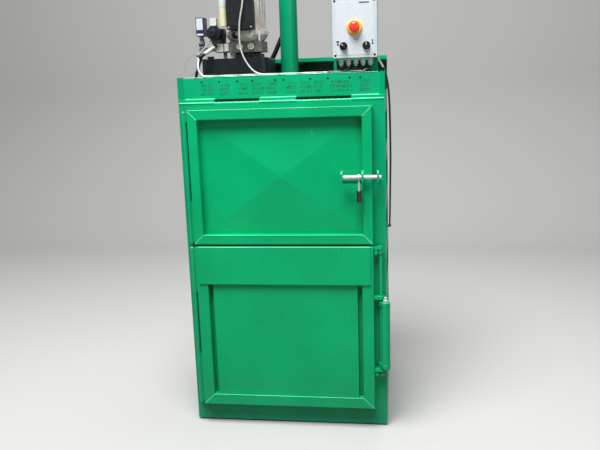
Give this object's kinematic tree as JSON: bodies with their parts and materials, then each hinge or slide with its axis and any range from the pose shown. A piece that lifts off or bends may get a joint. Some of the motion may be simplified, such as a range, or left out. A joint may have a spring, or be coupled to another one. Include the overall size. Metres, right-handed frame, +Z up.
{
  "type": "recycling baler",
  "caption": "Upright recycling baler: steel cabinet with an upper loading door and a lower bale door, a hydraulic press, a power pack and a control box on top.",
  "frame": {"origin": "centre of the base plate's underside, on the ground", "axes": "+X to the right seen from the front, +Y into the depth, +Z up"},
  "size_m": [0.8925, 0.8927, 2.1543],
  "materials": {
    "cabinet_paint": "gloss green paint on folded steel",
    "door_paint": "gloss green paint on steel tube and sheet",
    "zinc_steel": "zinc plated steel",
    "dark_steel": "black paint on steel",
    "tank_plastic": "moulded black plastic",
    "black_plastic": "moulded black plastic",
    "cast_aluminium": "cast and machined",
    "cream_plastic": "moulded",
    "grey_plastic": "fine moulded grain",
    "gland_grey": "moulded",
    "white_plastic": "moulded",
    "yellow_plastic": "moulded",
    "red_plastic": "moulded",
    "blue_plastic": "moulded",
    "white_cable": "extruded",
    "hose_rubber": "extruded",
    "cord_rubber": "extruded"
  },
  "bodies": {
    "cabinet": {"floor_pan": "cabinet_paint", "left_side_wall": "cabinet_paint", "right_side_wall": "cabinet_paint", "rear_wall": "cabinet_paint", "left_post": "cabinet_paint", "right_post": "cabinet_paint", "header_panel": "cabinet_paint", "top_plate": "cabinet_paint", "rear_cowl": "cabinet_paint", "bale_hooks": "cabinet_paint", "fixed_knuckles": "cabinet_paint", "door_catches": "cabinet_paint", "cylinder_tube": "cabinet_paint", "cylinder_cap": "cabinet_paint", "box_bracket": "cabinet_paint", "hinge_pins": "zinc_steel", "platen_guides": "zinc_steel", "cylinder_gland": "zinc_steel", "flange_bolts": "zinc_steel", "base_plate": "dark_steel", "oil_tank": "tank_plastic", "pump_body": "black_plastic", "fan_cover": "black_plastic", "terminal_box": "black_plastic", "solenoid_coil": "black_plastic", "mains_plug": "black_plastic", "valve_block": "cast_aluminium", "bell_flange": "cast_aluminium", "motor_housing": "cast_aluminium", "run_capacitor": "cream_plastic", "coil_connector": "white_plastic", "pressure_switch": "blue_plastic", "hydraulic_hose": "hose_rubber", "control_box": "grey_plastic", "control_box_cover": "grey_plastic", "estop_collar": "yellow_plastic", "cable_glands": "gland_grey", "control_cables": "white_cable", "motor_cable": "white_cable", "mains_cord": "cord_rubber", "mains_coil": "cord_rubber"},
    "upper_door": {"upper_door_frame": "door_paint", "upper_door_panel": "door_paint", "upper_door_knuckles": "door_paint", "bolt_bracket": "door_paint"},
    "door_bolt": {"bolt_rod": "zinc_steel"},
    "bolt_handle": {"bolt_handle": "zinc_steel", "bolt_grip": "black_plastic"},
    "lower_door": {"lower_door_frame": "door_paint", "lower_door_panel": "door_paint", "band_plate": "door_paint", "lower_door_knuckles": "door_paint", "lock_brackets": "door_paint"},
    "door_lock": {"lock_shaft": "door_paint", "lock_handle": "door_paint"},
    "platen": {"platen": "cabinet_paint", "piston_rod": "zinc_steel"},
    "estop": {"estop_button": "red_plastic"},
    "selector_left": {"left_selector": "black_plastic"},
    "selector_right": {"right_selector": "black_plastic"}
  },
  "joints": [
    {"name": "upper_door_hinge", "type": "hinge", "parent": "cabinet", "child": "upper_door", "pos_m": [-0.409, -0.348, 1.132], "axis": [0, 0, -1], "range_deg": [0, 110]},
    {"name": "bolt_slide", "type": "slide", "parent": "upper_door", "child": "door_bolt", "axis": [-1, 0, 0], "range_m": [0, 0.06]},
    {"name": "bolt_handle_turn", "type": "hinge", "parent": "door_bolt", "child": "bolt_handle", "pos_m": [0.328, -0.395, 1.134], "axis": [-1, 0, 0], "range_deg": [0, 120]},
    {"name": "lower_door_hinge", "type": "hinge", "parent": "cabinet", "child": "lower_door", "pos_m": [-0.409, -0.348, 0.4665], "axis": [0, 0, -1], "range_deg": [0, 110]},
    {"name": "lock_turn", "type": "hinge", "parent": "lower_door", "child": "door_lock", "pos_m": [0.413, -0.35, 0.55], "axis": [0, 0, -1], "range_deg": [0, 66]},
    {"name": "platen_slide", "type": "slide", "parent": "cabinet", "child": "platen", "axis": [0, 0, -1], "range_m": [0, 0.56]},
    {"name": "estop_press", "type": "slide", "parent": "cabinet", "child": "estop", "axis": [0, 1, 0], "range_m": [0, 0.005]},
    {"name": "left_selector_turn", "type": "hinge", "parent": "cabinet", "child": "selector_left", "pos_m": [0.269, -0.31, 1.66], "axis": [0, 1, 0], "range_deg": [0, 90]},
    {"name": "right_selector_turn", "type": "hinge", "parent": "cabinet", "child": "selector_right", "pos_m": [0.362, -0.31, 1.66], "axis": [0, 1, 0], "range_deg": [-45, 45]}
  ]
}
